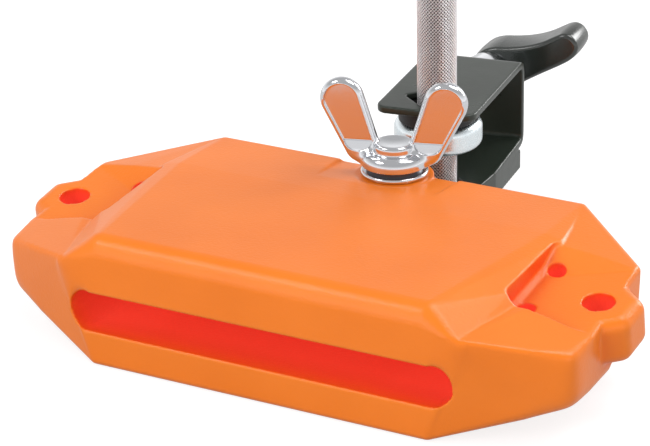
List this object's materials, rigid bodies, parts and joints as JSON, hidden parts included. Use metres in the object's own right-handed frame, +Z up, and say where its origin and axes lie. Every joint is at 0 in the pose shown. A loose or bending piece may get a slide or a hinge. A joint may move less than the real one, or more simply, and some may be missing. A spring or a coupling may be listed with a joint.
{
  "type": "woodblock",
  "caption": "Moulded percussion block with a long sound slot, lug pockets at both ends and a swivelling rod clamp bolted at its back.",
  "frame": {"origin": "on the flat underside of the block, midway along it and below the line that joins the two lug holes", "axes": "+X along the block, +Y to its back where the clamp is, +Z up"},
  "size_m": [0.2012, 0.2029, 0.13],
  "materials": {
    "orange_plastic": "moulded, fine texture, soft sheen",
    "zinc": "bright zinc",
    "chrome": "polished",
    "dark_steel": "dark spring steel",
    "black_paint": "gloss powder coat",
    "black_rubber": "smooth",
    "black_enamel": "die-cast, gloss enamel",
    "knurled_steel": "diamond knurl, plated"
  },
  "bodies": {
    "block": {"block_body": "orange_plastic", "pivot_bolt": "zinc"},
    "nut_washers": {"flat_washer": "chrome", "spring_washer": "dark_steel"},
    "wing_nut": {"wing_nut": "chrome"},
    "clamp": {"clamp_bracket": "black_paint", "guide_collar": "black_rubber", "rear_washer": "chrome"},
    "draw_bolt": {"eye_bolt": "zinc"},
    "lever": {"lever_hub": "chrome", "lever_handle": "black_enamel"},
    "rod": {"rod": "knurled_steel"}
  },
  "joints": [
    {"name": "nut_lift", "type": "slide", "parent": "block", "child": "nut_washers", "axis": [0, 0, 1], "range_m": [0, 0.0025]},
    {"name": "nut_turn", "type": "hinge", "parent": "nut_washers", "child": "wing_nut", "pos_m": [0, 0.0446, 0.0445], "axis": [0, 0, 1], "range_deg": [0, 720]},
    {"name": "clamp_swivel", "type": "hinge", "parent": "block", "child": "clamp", "pos_m": [0, 0.0446, 0.02], "axis": [0, 0, 1], "range_deg": [-45, 30]},
    {"name": "eye_draw", "type": "slide", "parent": "clamp", "child": "draw_bolt", "axis": [0.1495, -0.9888, 0], "range_m": [0, 0.0024]},
    {"name": "lever_turn", "type": "hinge", "parent": "clamp", "child": "lever", "pos_m": [-0.01444, 0.14011, 0.0386], "axis": [-0.1495, 0.9888, 0], "range_deg": [0, 690]},
    {"name": "rod_slide", "type": "slide", "parent": "clamp", "child": "rod", "axis": [0, 0, 1], "range_m": [-0.01, 0.008]}
  ],
  "couplings": [
    {"joint": "nut_lift", "follows": "nut_turn", "m_per_rad": 0.00019894},
    {"joint": "eye_draw", "follows": "lever_turn", "m_per_rad": 0.00019894}
  ]
}
